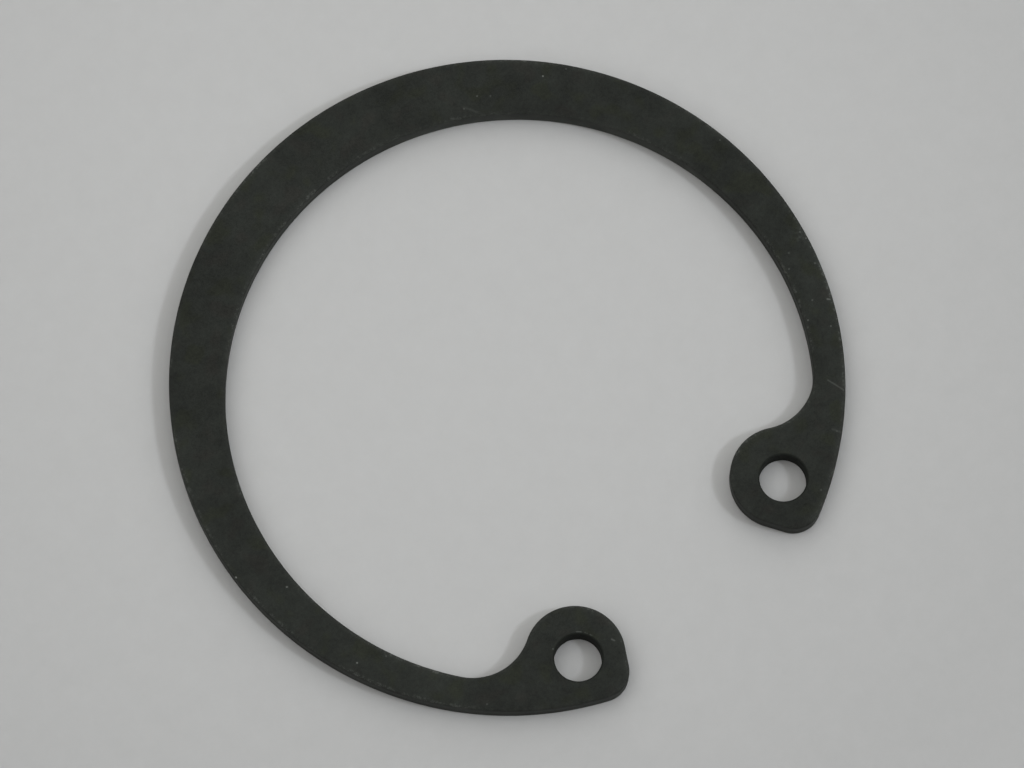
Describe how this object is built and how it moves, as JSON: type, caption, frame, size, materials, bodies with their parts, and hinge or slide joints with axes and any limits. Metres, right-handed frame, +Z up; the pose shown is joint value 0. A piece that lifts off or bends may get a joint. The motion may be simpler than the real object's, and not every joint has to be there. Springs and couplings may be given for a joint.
{
  "type": "internal retaining ring",
  "caption": "Flat spring ring with a tapering band and inward lugs drilled for pliers; it springs out into a groove to hold a part in a bore.",
  "frame": {"origin": "on the axis of the ring's outer circle, at its lower face", "axes": "+Z up along the ring's axis, square to its flat faces; the gap between the lugs is towards -Y, and X = 0 is the plane of symmetry"},
  "size_m": [0.0344, 0.033, 0.0012],
  "materials": {
    "phosphated_steel": "matte black phosphate, lightly oiled"
  },
  "bodies": {
    "root": {"retaining_ring": "phosphated_steel"}
  },
  "joints": []
}
